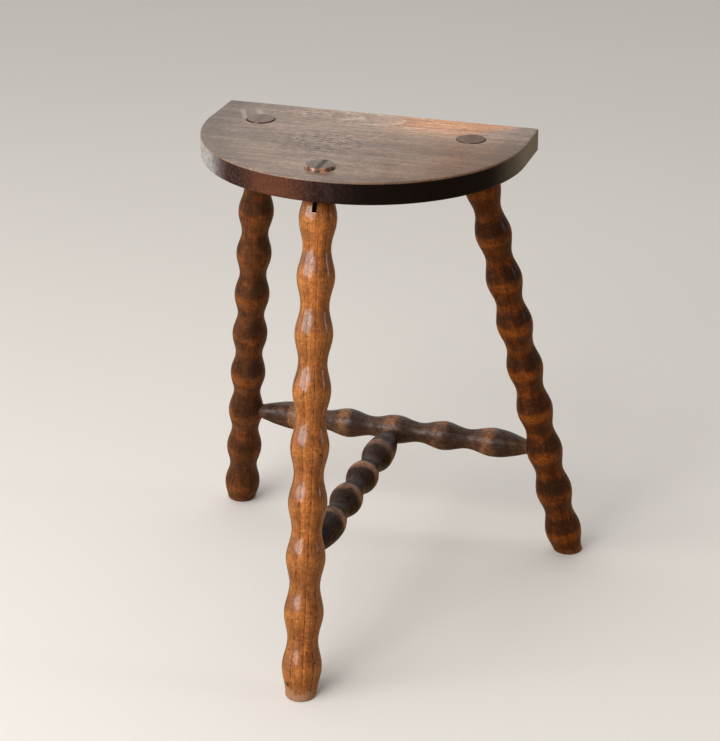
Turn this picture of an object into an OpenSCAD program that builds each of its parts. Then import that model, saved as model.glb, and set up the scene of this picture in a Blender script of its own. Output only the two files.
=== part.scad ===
// Three-legged milking stool with a D-shaped seat board and bobbin-turned legs.
// The straight edge of the seat runs along X at the back, the curve faces -Y.
// The origin is on the floor, under the middle of the stool's footprint.

/* [Seat board] */
// Width of the board along its straight back edge
seat_w = 300; // [260:1:360]
// Length of each straight side, from the back edge to where the curve starts
side_len = 52.5; // [30:0.5:80]
// Width of the short flat at the front, between the two quarter-circle curves
front_flat = 10; // [2:1:60]
// Thickness of the board
seat_t = 20.5; // [16:0.5:32]
// Height of the board's top above the floor
seat_h = 461; // [380:1:560]
// Width of the chamfer along the board's edges
arris = 1.2; // [0.4:0.1:3]

/* [Turned legs] */
// Diameter of the tenon on top of each leg, and of the plain neck below it
leg_tenon_d = 25.4; // [23:0.1:28]
// Diameter of a bead at the seat
bead_d_top = 33.8; // [30:0.1:40]
// Diameter of a bead at the floor
bead_d_foot = 36.8; // [30:0.1:44]
// Diameter of a cove between beads at the seat
cove_d_top = 25.2; // [20:0.1:28]
// Diameter of a cove between beads at the floor
cove_d_foot = 28.8; // [20:0.1:29]
// Length of one bead with its cove, along the leg
bead_pitch = 50.6; // [40:0.1:60]
// Width of the worn chamfer around each sole
sole_arris = 1.4; // [0.4:0.1:3]

/* [Front leg] */
// Place of the hole's centre across the board, from the middle
front_hole_x = -5.4; // [-30:0.2:30]
// Distance of the hole's centre from the front edge
front_hole_in = 31.8; // [26:0.1:70]
// Lean of the leg from upright, in degrees
front_lean_angle = 14.1; // [8:0.1:20]
// Direction in which the leg leans, in degrees from +X
front_bearing_angle = -81.8; // [-110:0.2:-70]
// Distance of the first bead's middle below the board
front_first_bead = 23.3; // [20:0.1:36]
// Height of the tenon's end above the board
front_proud = 3.3; // [0.2:0.1:5]
// Distance of the saw kerf's middle from the leg's axis, to the right
front_kerf_shift = 1.5; // [-3:0.1:3]

/* [Left leg] */
// Distance of the hole's centre from the board's left side
left_hole_side = 48; // [30:1:65]
// Distance of the hole's centre from the back edge
left_hole_in = 49; // [30:1:70]
// Lean of the leg from upright, in degrees
left_lean_angle = 16.8; // [8:0.1:20]
// Direction in which the leg leans, in degrees from +X
left_bearing_angle = 122; // [100:1:150]
// Distance of the first bead's middle below the board
left_first_bead = 33; // [24:0.5:36]
// Height of the tenon's end above the board
left_proud = 0.8; // [0.2:0.1:5]
// Distance of the saw kerf's middle from the leg's axis, to the right
left_kerf_shift = 0; // [-3:0.1:3]

/* [Right leg] */
// Distance of the hole's centre from the board's right side
right_hole_side = 51; // [30:1:65]
// Distance of the hole's centre from the back edge
right_hole_in = 49; // [30:1:70]
// Lean of the leg from upright, in degrees
right_lean_angle = 16.5; // [8:0.1:20]
// Direction in which the leg leans, in degrees from +X
right_bearing_angle = 52.5; // [30:0.5:80]
// Distance of the first bead's middle below the board
right_first_bead = 28; // [24:0.5:36]
// Height of the tenon's end above the board
right_proud = 0.3; // [0.2:0.1:5]
// Distance of the saw kerf's middle from the leg's axis, to the right
right_kerf_shift = 0; // [-3:0.1:3]

/* [Wedged tenons] */
// Width of the saw kerf across each leg's tenon
kerf_w = 4.4; // [2:0.1:6]
// Depth to which the kerf runs on below the board
kerf_below = 16.2; // [0:0.1:18]
// Thickness of the wedge at its thin end
wedge_tip_w = 2.8; // [1:0.1:3]
// Distance of the wedge's thin end from the board's underside
wedge_short = 2; // [0.5:0.5:6]
// Width of the worn bevel round each tenon's end
tenon_arris = 0.5; // [0.2:0.1:1.5]
// Width of the bevel round the mouth of each leg's hole in the board's top
mouth_arris = 1; // [0.9:0.1:2.5]

/* [Stretchers] */
// Number of beads from the seat down to the one that the stretchers enter, with that one
entry_bead_count = 7; // [5:1:8]
// Length of one bead with its cove, along a stretcher
stretcher_pitch = 50.6; // [40:0.1:54]
// Diameter of the long stretcher's beads
long_bead_d = 29.5; // [26:0.1:34]
// Diameter of the long stretcher's coves
long_cove_d = 20.4; // [16:0.1:25]
// Number of beads on the long stretcher, between the left and right legs
long_bead_count = 5; // [3:2:5]
// Distance of the long stretcher's middle bead from its own middle, to the right
long_bead_shift = 4.6; // [-8:0.2:8]
// Diameter of the short stretcher's beads
short_bead_d = 31; // [26:0.1:34]
// Diameter of the short stretcher's coves
short_cove_d = 21.4; // [16:0.1:25]
// Number of beads on the short stretcher, from the front leg to the long stretcher
short_bead_count = 4; // [2:1:4]
// Diameter of the tenons that enter the legs
stretcher_tenon_d = 15; // [10:0.1:18]
// Diameter of the tenon that enters the long stretcher
back_tenon_d = 12; // [8:0.1:14]
// Distance at which each tenon stops short of the axis of the piece that it enters
tenon_stop = 2.5; // [1:0.5:6]

/* [Fit] */
// Clearance all round each tenon and wedge, filled by glue
glue_gap = 0.1; // [0.05:0.01:0.2]
// Clearance past the end of each blind tenon
end_gap = 0.8; // [0.2:0.1:2]

/* [Hidden] */
$fn = 96;

// Straight pieces of the turned outline to one bead
bead_steps = 18;
// Distance between the places along a leg where its reach is worked out
reach_step = 0.5;
// Length by which a cutting solid runs past what it cuts
over = 5;

tenon_r = leg_tenon_d / 2;
hole_r = tenon_r + glue_gap;
// Radius of the two front curves, and distance of their centres from the middle of the board
curve_x = front_flat / 2;
curve_r = seat_w / 2 - curve_x;

// One row for each leg: hole's place from the middle of the board, lean, bearing, first bead,
// proud, and shift of the kerf
FRONT = [front_hole_x, front_hole_in - curve_r,
         front_lean_angle, front_bearing_angle, front_first_bead, front_proud, front_kerf_shift];
LEFT = [left_hole_side - seat_w / 2, side_len - left_hole_in,
        left_lean_angle, left_bearing_angle, left_first_bead, left_proud, left_kerf_shift];
RIGHT = [seat_w / 2 - right_hole_side, side_len - right_hole_in,
         right_lean_angle, right_bearing_angle, right_first_bead, right_proud, right_kerf_shift];

function lean(leg) = leg[2];
function bearing(leg) = leg[3];
function proud(leg) = leg[5];

// Middle of the leg's hole in the board's top, from the middle of the board
function hole(leg) = [leg[0], leg[1], seat_h];
// Unit vector down the leg
function down(leg) =
    [sin(lean(leg)) * cos(bearing(leg)), sin(lean(leg)) * sin(bearing(leg)), -cos(lean(leg))];
// Length of the leg's axis inside the board, and from the board's underside to the floor
function board_run(leg) = seat_t / cos(lean(leg));
function floor_run(leg) = (seat_h - seat_t) / cos(lean(leg));
// Point on the leg's axis at distance s below the board
function leg_pt(leg, s) = hole(leg) + down(leg) * (board_run(leg) + s);
// Points where the leg's axis meets the floor and the tenon's end
function foot(leg) = leg_pt(leg, floor_run(leg));
function tenon_end(leg) = hole(leg) - down(leg) * proud(leg) / cos(lean(leg));

function mix(a, b, t) = a + (b - a) * t;
// Radius of a turned wave: crest at distance 0, cove half a pitch away
function wave_r(x, pitch, bead_d, cove_d) = mix(cove_d, bead_d, (1 + cos(360 * x / pitch)) / 2) / 2;
// The plain neck reaches just below the slanting mouth of the hole
function neck(leg) = tenon_r * tan(lean(leg)) + glue_gap;
// Radius of a leg at distance s below the board: the wave grows evenly towards the floor
function leg_r(leg, s) =
    let (t = s / floor_run(leg))
    s < neck(leg) ? tenon_r
    : max(tenon_r, wave_r(s - leg[4], bead_pitch, mix(bead_d_top, bead_d_foot, t),
                          mix(cove_d_top, cove_d_foot, t)));
// Distance below the board of the crest that the stretchers enter, and its place
function entry_s(leg) = leg[4] + (entry_bead_count - 1) * bead_pitch;
function entry(leg) = leg_pt(leg, entry_s(leg));
function entry_r(leg) = leg_r(leg, entry_s(leg));

// Furthest reach of a leg along a flat unit vector, above the floor
function leg_reach(leg, way) =
    let (a = down(leg) * way, side = sqrt(1 - a * a))
    max([for (s = [0 : reach_step : floor_run(leg)])
        let (p = leg_pt(leg, s), r = leg_r(leg, s))
        if (p.z - r * a * down(leg).z / side >= 0) p * way + r * side]);
function reach(way) = max([for (leg = [FRONT, LEFT, RIGHT]) leg_reach(leg, way)]);

// Middle of the footprint, as seen from the middle of the board
mid_x = (reach([1, 0, 0]) - reach([-1, 0, 0])) / 2;
mid_y = (max(reach([0, 1, 0]), side_len) - reach([0, -1, 0])) / 2;

// The long stretcher joins the left and right legs, the short one joins it to the front leg
long_from = entry(LEFT);
long_to = entry(RIGHT);
long_len = norm(long_to - long_from);
long_way = (long_to - long_from) / long_len;
long_mid = long_len / 2 + long_bead_shift;
short_from = entry(FRONT);
short_to = long_from + long_way * long_mid;
short_len = norm(short_to - short_from);
short_way = (short_to - short_from) / short_len;

// Distance from a piece's axis to its skin, along a stretcher that meets it
function skin(r, axis, way) = r / sqrt(1 - pow(axis * way, 2));
long_start = skin(entry_r(LEFT), down(LEFT), long_way);
long_end = long_len - skin(entry_r(RIGHT), down(RIGHT), long_way);
short_start = skin(entry_r(FRONT), down(FRONT), short_way);
short_end = short_len - skin(long_bead_d / 2, long_way, short_way);

// Radius of a stretcher at distance u from its start: a wave between the first and last
// crests, and outside them a swelling taper down to the tenon
function stretcher_r(u, first, last, start, end, bead_d, cove_d, start_d, end_d) =
    u < first ? mix(start_d, bead_d, cos(90 * (first - u) / (first - start))) / 2
    : u > last ? mix(end_d, bead_d, cos(90 * (u - last) / (end - last))) / 2
    : wave_r(u - first, stretcher_pitch, bead_d, cove_d);

// Places children in the stool's frame from coordinates about the middle of the board
module in_frame() {
    translate([-mid_x, -mid_y, 0]) children();
}

// Places children on a leg's axis, with its own Z running up the leg from the board's underside
module on_leg(leg) {
    translate(leg_pt(leg, 0)) rotate([0, -lean(leg), bearing(leg)]) children();
}

// Places children in a leg's kerf: their X runs across it, from its middle, and their Y shows as
// the stool's Y on the board's top
module in_kerf(leg) {
    turn = 90 - bearing(leg);
    rotate(atan2(sin(turn), cos(turn) * cos(lean(leg))) - 90) translate([leg[6], 0, 0]) children();
}

// Places children at p with their Z pointing along a unit vector
module along(p, way) {
    translate(p) rotate([0, acos(way.z), atan2(way.y, way.x)]) children();
}

// Outline of the board: straight back and sides, two quarter circles and a short flat front
module board_outline() {
    translate([-seat_w / 2, 0]) square([seat_w, side_len]);
    intersection() {
        union() {
            for (side = [-1, 1]) translate([side * curve_x, 0]) circle(curve_r);
            translate([-curve_x, -curve_r]) square([curve_x * 2, curve_r]);
        }
        translate([-seat_w / 2, -curve_r]) square([seat_w, curve_r]);
    }
}

// Section that cuts a chamfer, with the sharp edge that goes at 0,0 and the outside at +X
module chamfer_section() {
    polygon([[-arris - over, over], [over, -arris - over], [over, over]]);
}

// Chamfer along a straight edge that faces +X, from 0,0 towards -Y
module straight_chamfer(length) {
    rotate([90, 0, 0]) linear_extrude(length) chamfer_section();
}

// Chamfer all round an upper edge at height 0
module edge_chamfer() {
    half = seat_w / 2;
    translate([-half - over, side_len, 0]) rotate(90) straight_chamfer(seat_w + over * 2);
    translate([curve_x, -curve_r, 0]) rotate(-90) straight_chamfer(curve_x * 2);
    for (side = [0, 1]) mirror([side, 0, 0]) {
        translate([half, side_len + over, 0]) straight_chamfer(side_len + over);
        translate([curve_x, 0, 0]) rotate(-90) rotate_extrude(angle = 90)
            translate([curve_r, 0]) chamfer_section();
    }
}

// Slanting hole for a leg, with a bevelled mouth that the leaning tenon doesn't overhang
module leg_hole(leg) {
    on_leg(leg) translate([0, 0, -over * 2]) cylinder(h = board_run(leg) + over * 4, r = hole_r);
    translate(hole(leg) - [0, 0, mouth_arris + over])
        cylinder(h = mouth_arris + over * 2, r1 = hole_r - over, r2 = hole_r + mouth_arris + over);
}

module seat_board() {
    color("#8a7468") in_frame() difference() {
        translate([0, 0, seat_h - seat_t]) linear_extrude(seat_t) board_outline();
        translate([0, 0, seat_h]) edge_chamfer();
        translate([0, 0, seat_h - seat_t]) mirror([0, 0, 1]) edge_chamfer();
        for (leg = [FRONT, LEFT, RIGHT]) leg_hole(leg);
    }
}

// The turned piece before its ends are cut to the floor and the seat, with its Z up the leg
module leg_turning(leg) {
    top = board_run(leg) + over * 2;
    bottom = floor_run(leg) + over * 2;
    step = bead_pitch / bead_steps;
    rotate_extrude() polygon(concat(
        [[0, top], [tenon_r, top], [tenon_r, -neck(leg)]],
        [for (s = [neck(leg) + glue_gap : step : bottom]) [leg_r(leg, s), -s]],
        [[0, -bottom]]));
}

// Saw kerf across the tenon, open at the top
module kerf(leg) {
    in_kerf(leg) translate([-kerf_w / 2, -leg_tenon_d, -kerf_below])
        cube([kerf_w, leg_tenon_d * 2, kerf_below + board_run(leg) + over * 3]);
}

// What lies above the floor and below the tenon's end, drawn in there by the chamfer and the bevel
module trim_body(leg) {
    height = seat_h + proud(leg);
    sole_r = leg_r(leg, floor_run(leg)) - sole_arris;
    end_r = tenon_r - tenon_arris;
    intersection() {
        translate([foot(leg).x, foot(leg).y, 0])
            cylinder(h = height, r1 = sole_r, r2 = sole_r + height);
        translate([tenon_end(leg).x, tenon_end(leg).y, 0])
            cylinder(h = height, r1 = end_r + height, r2 = end_r);
    }
}

// Blind hole in a leg for a stretcher's tenon, which leaves the leg along way
module leg_mortise(leg, way) {
    along(entry(leg) + way * (tenon_stop - end_gap), way)
        cylinder(h = bead_d_foot, r = stretcher_tenon_d / 2 + glue_gap);
}

module leg(which, way) {
    in_frame() difference() {
        intersection() {
            on_leg(which) difference() {
                leg_turning(which);
                kerf(which);
            }
            trim_body(which);
        }
        leg_mortise(which, way);
    }
}

module front_leg() {
    color("#9c5a1e") leg(FRONT, short_way);
}

module left_leg() {
    color("#5c3a22") leg(LEFT, long_way);
}

module right_leg() {
    color("#6e4120") leg(RIGHT, -long_way);
}

// A stretcher along its own Z: tenon, swelling taper, beads, swelling taper and tenon
module stretcher_turning(length, first, last, start, end, bead_d, cove_d, start_d, end_d) {
    step = stretcher_pitch / bead_steps;
    rotate_extrude() polygon(concat(
        [[0, tenon_stop], [start_d / 2, tenon_stop]],
        [for (u = [start : step : end])
            [stretcher_r(u, first, last, start, end, bead_d, cove_d, start_d, end_d), u]],
        [[end_d / 2, end], [end_d / 2, length - tenon_stop], [0, length - tenon_stop]]));
}

module long_stretcher() {
    half_run = (long_bead_count - 1) / 2 * stretcher_pitch;
    color("#4a3a32") in_frame() difference() {
        along(long_from, long_way)
            stretcher_turning(long_len, long_mid - half_run, long_mid + half_run, long_start, long_end,
                              long_bead_d, long_cove_d, stretcher_tenon_d, stretcher_tenon_d);
        along(short_to - short_way * long_bead_d, short_way)
            cylinder(h = long_bead_d - tenon_stop + end_gap, r = back_tenon_d / 2 + glue_gap);
    }
}

module short_stretcher() {
    middle = (short_start + short_end) / 2;
    half_run = (short_bead_count - 1) / 2 * stretcher_pitch;
    color("#43342d") in_frame() along(short_from, short_way)
        stretcher_turning(short_len, middle - half_run, middle + half_run, short_start, short_end,
                          short_bead_d, short_cove_d, stretcher_tenon_d, back_tenon_d);
}

// Wedge driven into the kerf from the top and trimmed flush with the tenon
module wedge(leg) {
    top = board_run(leg) + over * 2;
    top_w = kerf_w - 2 * glue_gap;
    in_frame() intersection() {
        on_leg(leg) intersection() {
            in_kerf(leg) rotate([90, 0, 0]) translate([0, 0, -leg_tenon_d])
                linear_extrude(leg_tenon_d * 2)
                polygon([[-wedge_tip_w / 2, wedge_short], [wedge_tip_w / 2, wedge_short],
                         [top_w / 2, board_run(leg)], [top_w / 2, top], [-top_w / 2, top],
                         [-top_w / 2, board_run(leg)]]);
            cylinder(h = top, r = tenon_r);
        }
        trim_body(leg);
    }
}

module front_wedge() {
    color("#4b4038") wedge(FRONT);
}

module left_wedge() {
    color("#6f655c") wedge(LEFT);
}

module right_wedge() {
    color("#6f655c") wedge(RIGHT);
}

seat_board();
front_leg();
left_leg();
right_leg();
long_stretcher();
short_stretcher();
front_wedge();
left_wedge();
right_wedge();
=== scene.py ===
import math

import bpy
import numpy as np
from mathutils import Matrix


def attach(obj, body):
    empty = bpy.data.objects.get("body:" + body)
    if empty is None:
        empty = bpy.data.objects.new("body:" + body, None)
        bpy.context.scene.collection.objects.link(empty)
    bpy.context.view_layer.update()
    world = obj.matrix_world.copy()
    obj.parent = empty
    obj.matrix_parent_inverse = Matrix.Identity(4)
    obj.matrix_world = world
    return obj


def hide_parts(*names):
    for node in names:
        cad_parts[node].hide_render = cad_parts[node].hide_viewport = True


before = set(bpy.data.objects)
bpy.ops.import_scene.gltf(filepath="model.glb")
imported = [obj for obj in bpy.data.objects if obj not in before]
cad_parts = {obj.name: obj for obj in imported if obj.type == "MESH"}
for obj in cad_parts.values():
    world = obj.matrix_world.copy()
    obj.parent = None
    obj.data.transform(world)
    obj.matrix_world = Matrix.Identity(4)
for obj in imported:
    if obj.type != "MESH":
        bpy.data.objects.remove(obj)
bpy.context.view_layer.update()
print("the packed stool is loaded")

# The whole stool, in metres: heights, the board, and how its turned pieces meet
stool = {
    "seatTop": 0.461,
    "seatThick": 0.0205,
    "pitch": 0.0506,          # one bead with its cove, along legs and stretchers
    "entryBead": 6,           # beads passed before the one that the stretchers enter
    "tenonStop": 0.0025,      # stretcher tenons stop this short of the leg's axis
    "patternRadius": 0.016,   # the plain cylinder on which the turned pieces' grain is laid out
    "sharpAngle": 0.6,        # radians between faces past which an edge is sharp
    "waves": ((1, 9), (2, 17), (2, 31), (3, 46), (4, 12), (1, 63)),  # times round, waves a metre
}


# Smooth shading, with an edge kept sharp where its faces turn by more than sharpAngle
def smoothMesh(mesh):
    mesh.polygons.foreach_set("use_smooth", np.ones(len(mesh.polygons), bool))
    mesh.set_sharp_from_angle(angle=stool["sharpAngle"])


# A new object in the scene, at the origin, unturned
def addObject(name, data):
    made = bpy.data.objects.new(name, data)
    bpy.context.scene.collection.objects.link(made)
    return made


# Puts corner points and faces into a closed mesh; a shape that came out inside out is turned
def putMesh(name, points, quads, triangles, marks):
    ends = np.vstack([triangles, quads[:, [0, 1, 2]], quads[:, [0, 2, 3]]])
    a, b, c = (points[ends[:, k]] for k in range(3))
    if np.einsum("ij,ij->", a, np.cross(b, c)) < 0:  # six times the volume inside
        quads, triangles = quads[:, ::-1], triangles[:, ::-1]
    mesh = bpy.data.meshes.new(name)
    mesh.vertices.add(len(points))
    mesh.vertices.foreach_set("co", points.astype(np.float32).ravel())
    corners = np.concatenate([quads.ravel(), triangles.ravel()])
    sizes = np.concatenate([np.full(len(quads), 4), np.full(len(triangles), 3)])
    mesh.loops.add(len(corners))
    mesh.loops.foreach_set("vertex_index", corners.astype(np.int32))
    mesh.polygons.add(len(sizes))
    mesh.polygons.foreach_set("loop_start", (np.cumsum(sizes) - sizes).astype(np.int32))
    mesh.polygons.foreach_set("loop_total", sizes.astype(np.int32))
    mesh.update(calc_edges=True)
    smoothMesh(mesh)
    for mark, values in marks.items():
        layer = mesh.attributes.new(mark, "FLOAT_VECTOR", "POINT")
        layer.data.foreach_set("vector", values.astype(np.float32).ravel())
    mesh.validate()
    return addObject(name, mesh)


# Joins rows of points round into a skin: each row is a closed ring, each next pair of rows a band
# of four-sided faces, and a fan from the middle of the first and last row closes the ends
def skinFaces(rowCount, columnCount, first=0):
    row, column = np.meshgrid(np.arange(rowCount - 1), np.arange(columnCount), indexing="ij")
    a = first + row * columnCount + column
    b = first + row * columnCount + (column + 1) % columnCount
    quads = np.stack([a, b, b + columnCount, a + columnCount], -1).reshape(-1, 4)
    here = np.arange(columnCount)
    after = (here + 1) % columnCount
    startPole = first + rowCount * columnCount
    lastRow = first + (rowCount - 1) * columnCount
    starts = np.stack([np.full(columnCount, startPole), after, here], -1)
    stops = np.stack([np.full(columnCount, startPole + 1), lastRow + here, lastRow + after], -1)
    return quads, np.vstack([starts, stops])


# The ring grids flattened to one list of points, each with its two poles after it
def withPoles(rows):
    return np.concatenate([rows.reshape(-1, 3), rows[:1].mean(1), rows[-1:].mean(1)])


# Makes one piece of one or more closed skins, with the marks that its material reads
def makePiece(name, skins):
    points, quads, triangles, marks, first = [], [], [], {}, 0
    for rows, rowMarks in skins:
        faces = skinFaces(*rows.shape[:2], first)
        quads.append(faces[0])
        triangles.append(faces[1])
        points.append(withPoles(rows))
        for mark, values in rowMarks.items():
            marks.setdefault(mark, []).append(withPoles(values))
        first += len(points[-1])
    joined = {mark: np.concatenate(values) for mark, values in marks.items()}
    return putMesh(name, np.concatenate(points), np.concatenate(quads), np.concatenate(triangles), joined)


# Slow unevenness of hand turning: waves that run round and along a piece, from -1 to 1
def turningError(around, along, seed):
    draw = np.random.default_rng(seed)
    total = 0
    for turns, perMetre in stool["waves"]:
        offset = draw.uniform(0, 2 * math.pi, 2)
        lengthwise = np.cos(2 * math.pi * perMetre * along + offset[1])
        total = total + np.cos(turns * around + offset[0]) * lengthwise
    return total / len(stool["waves"])


# 0 below low, 1 above high, and between them 3 t squared less 2 t cubed
def smoothStep(value, low, high):
    t = np.clip((value - low) / (high - low), 0, 1)
    return t * t * (3 - 2 * t)


# Radius of a turned wave: halfway between cove and bead, plus or minus half the gap by a cosine
def waveRadius(x, bead, cove):
    return (cove + (bead - cove) * (1 + np.cos(2 * math.pi * x / stool["pitch"])) / 2) / 2


# The legs, in metres
legTurning = {
    "tenonRadius": 0.0127,
    "beadTop": 0.0338, "beadFoot": 0.0368,   # bead diameters at the seat and at the floor
    "coveTop": 0.0252, "coveFoot": 0.0288,   # cove diameters there
    "unevenness": 0.00018,
    "kerf": 0.0022,          # half the width of the saw kerf
    "kerfBelow": 0.0162,     # it runs on this far below the board
    "kerfEase": 0.01,        # over which the unevenness sets in below the kerf
    "soleRound": 0.0014, "soleWander": 0.35, "wanderAt": 0.3,  # worn corner round the sole
    "endRound": 0.0005,      # worn corner round the tenon's end
    "neckPast": 0.0001,      # the plain neck reaches this far past the board's underside
    "soleRun": 0.016,        # the last rows above the floor follow its slant
    "endFade": (0.0002, 0.0012),
    "rowStep": 0.001, "prongStep": 0.0008, "columns": 120, "chordColumns": 14,
    "soleRows": 14, "prongRows": 12,
    "kerfRings": (0.5, 0.04), "soleRings": (0.8, 0.5, 0.2),    # shares of the radius
    "soleCorner": (0.25, 0.5, 0.75, 1.0), "endCorner": (0.3, 0.65, 1.0),  # parts of a quarter round
}
frontLeg = {"hole": (-0.0080946, -0.060128), "lean": 14.1, "bearing": -81.8,  # degrees
            "firstBead": 0.0233, "proud": 0.0033, "kerfShift": 0.0015, "seed": 3}
leftLeg = {"hole": (-0.1046946, 0.056572), "lean": 16.8, "bearing": 122.0,
           "firstBead": 0.033, "proud": 0.0008, "kerfShift": 0.0, "seed": 5}
rightLeg = {"hole": (0.0963054, 0.056572), "lean": 16.5, "bearing": 52.5,
            "firstBead": 0.028, "proud": 0.0003, "kerfShift": 0.0, "seed": 8}


# Works out a leg's place: the axis point at the board's underside, the unit vectors down the leg
# and across it, and the length down to the floor
def placeLeg(leg):
    lean, bearing = math.radians(leg["lean"]), math.radians(leg["bearing"])
    leg["cos"], leg["sin"] = math.cos(lean), math.sin(lean)
    leg["down"] = np.array([leg["sin"] * math.cos(bearing), leg["sin"] * math.sin(bearing), -leg["cos"]])
    leg["across"] = np.array([leg["cos"] * math.cos(bearing), leg["cos"] * math.sin(bearing), leg["sin"]])
    leg["aside"] = np.array([-math.sin(bearing), math.cos(bearing), 0.0])
    top = np.array([*leg["hole"], stool["seatTop"]])
    leg["start"] = top + leg["down"] * stool["seatThick"] / leg["cos"]
    leg["length"] = (stool["seatTop"] - stool["seatThick"]) / leg["cos"]
    leg["neck"] = legTurning["tenonRadius"] * math.tan(lean) + legTurning["neckPast"]
    turn = math.pi / 2 - bearing  # the kerf lies along Y, as seen on the board's top
    leg["kerfTurn"] = math.atan2(math.sin(turn), math.cos(turn) * leg["cos"]) - math.pi / 2
    leg["entry"] = leg["firstBead"] + stool["entryBead"] * stool["pitch"]


# Radius at distance s below the board: a wave that grows evenly towards the floor, and the plain
# neck above it
def legRadius(leg, s):
    t = s / leg["length"]
    bead = legTurning["beadTop"] + (legTurning["beadFoot"] - legTurning["beadTop"]) * t
    cove = legTurning["coveTop"] + (legTurning["coveFoot"] - legTurning["coveTop"]) * t
    wave = np.maximum(legTurning["tenonRadius"], waveRadius(s - leg["firstBead"], bead, cove))
    return np.where(s < leg["neck"], legTurning["tenonRadius"], wave)


# Point at distance s below the board, x and y across the leg
def legPoint(leg, s, x, y):
    return (leg["start"] + s[..., None] * leg["down"] + x[..., None] * leg["across"]
            + y[..., None] * leg["aside"])


# Distance down the leg at which the point x across it is at a height
def downTo(leg, height, x):
    return (leg["start"][2] - height + x * leg["sin"]) / leg["cos"]


# What the material reads: the place on a plain cylinder, the bead's phase and number, and where
# the sawn ends and the inside of the kerf are
def turnedMarks(s, angle, firstBead, endFace, toEnd, inside):
    phase = 2 * math.pi * (s - firstBead) / stool["pitch"]
    flat = stool["patternRadius"]
    return {"cylinderPlace": np.stack([flat * np.cos(angle), flat * np.sin(angle), s], -1),
            "beadPlace": np.stack([np.cos(phase), np.sin(phase), phase / (2 * math.pi)], -1),
            "endPlace": np.stack([endFace, toEnd, inside], -1)}


# A part of a quarter round: 1 less the cosine and 1 less the sine of that part of a right angle
def quarterRound(part):
    return 1 - math.cos(part * math.pi / 2), 1 - math.sin(part * math.pi / 2)


# The leg below its kerf: rings of legRadius less the turner's unevenness, down to a worn corner and
# a sole that lie flat on the floor though the leg leans
def legBody(leg):
    angle = np.linspace(0, 2 * math.pi, legTurning["columns"], endpoint=False)
    s = np.arange(legTurning["kerfBelow"], leg["length"] - legTurning["soleRun"], legTurning["rowStep"])
    plain = np.broadcast_to(s[:, None], (len(s), len(angle)))
    wander = turningError(angle, legTurning["wanderAt"], leg["seed"])
    corner = legTurning["soleRound"] * (1 + legTurning["soleWander"] * wander)

    def radiusAt(depth):
        sets = smoothStep(depth, legTurning["kerfBelow"], legTurning["kerfBelow"] + legTurning["kerfEase"])
        error = turningError(angle, depth, leg["seed"]) * legTurning["unevenness"]
        return legRadius(leg, depth) + (error - legTurning["unevenness"]) * sets

    # Depth where each column's surface reaches a height, found by going to and fro three times
    def depthAt(height, inset):
        depth = downTo(leg, height, legTurning["tenonRadius"] * np.cos(angle))
        for _ in range(3):
            depth = downTo(leg, height, (radiusAt(depth) - inset) * np.cos(angle))
        return depth

    endDepth = depthAt(corner, 0)
    share = np.linspace(0, 1, legTurning["soleRows"])[1:, None]
    closing = s[-1] + (endDepth[None] - s[-1]) * share
    kerfInsets = [radiusAt(plain[0])[None] * part for part in legTurning["kerfRings"]]
    depths = [plain[:1], plain[:1], plain, closing]
    insets = kerfInsets + [np.zeros_like(plain), np.zeros_like(closing)]
    for part in legTurning["soleCorner"]:
        inward, downward = quarterRound(part)
        depths.append(depthAt(corner * downward, corner * inward)[None])
        insets.append((corner * inward)[None])
    for part in legTurning["soleRings"]:
        inset = radiusAt(endDepth) * (1 - part)
        depths.append(depthAt(0, inset)[None])
        insets.append(inset[None])
    depth, inset = np.concatenate(depths), np.concatenate(insets)
    radius = radiusAt(depth) - inset
    around = np.broadcast_to(angle, depth.shape)
    rows = legPoint(leg, depth, radius * np.cos(around), radius * np.sin(around))
    inside = np.zeros_like(depth)
    inside[:len(kerfInsets)] = 1  # the flat bottom of the kerf
    endFace = smoothStep(inset, *legTurning["endFade"]) * (1 - inside)
    return rows, turnedMarks(depth, around, leg["firstBead"], endFace, leg["length"] - depth, inside)


# Half of the split tenon: an arc of the turned surface and the flat cheek of the kerf, as rings
# that rise from the kerf's bottom and close in a worn corner at the tenon's end
def legProng(leg, side):
    height = stool["seatTop"] + leg["proud"]
    tenon, corners = legTurning["tenonRadius"], legTurning["endCorner"]
    plain = np.arange(legTurning["kerfBelow"], leg["neck"], -legTurning["prongStep"])
    straight = list(legRadius(leg, plain)) + [tenon] * legTurning["prongRows"]
    rounded = [tenon - legTurning["endRound"] * quarterRound(part)[0] for part in corners]
    reach = np.array(straight + rounded)[:, None]
    cheek = legTurning["kerf"] + side * leg["kerfShift"]  # distance from the axis to this half's cheek
    half = np.arccos(cheek / reach)
    arc = np.linspace(-1, 1, legTurning["columns"] // 2)[None] * half
    chord = np.linspace(1, -1, legTurning["chordColumns"] + 2)[None, 1:-1] * np.sin(half) * reach
    x = np.concatenate([reach * np.cos(arc), np.full_like(chord, cheek)], 1) * side
    y = np.concatenate([reach * np.sin(arc), chord], 1) * side
    turn = leg["kerfTurn"]
    x, y = x * math.cos(turn) - y * math.sin(turn), x * math.sin(turn) + y * math.cos(turn)
    depth = np.zeros_like(x)
    depth[:len(plain)] = plain[:, None]
    share = np.linspace(0, 1, legTurning["prongRows"] + 1)[1:, None]
    last = len(straight)
    endHeights = height - legTurning["endRound"] * (1 - np.sin(np.array([0.0, *corners]) * math.pi / 2))
    depth[len(plain):last] = plain[-1] + (downTo(leg, endHeights[0], x[last - 1]) - plain[-1]) * share
    depth[last:] = downTo(leg, endHeights[1:, None], x[last:])
    endFace, inside = np.zeros_like(x), np.zeros_like(x)
    endFace[-1] = 1
    inside[:-2, -legTurning["chordColumns"]:] = 1  # the kerf's cheek
    marks = turnedMarks(depth, np.arctan2(y, x), leg["firstBead"], endFace, leg["length"] - depth, inside)
    return legPoint(leg, depth, x, y), marks


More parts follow.
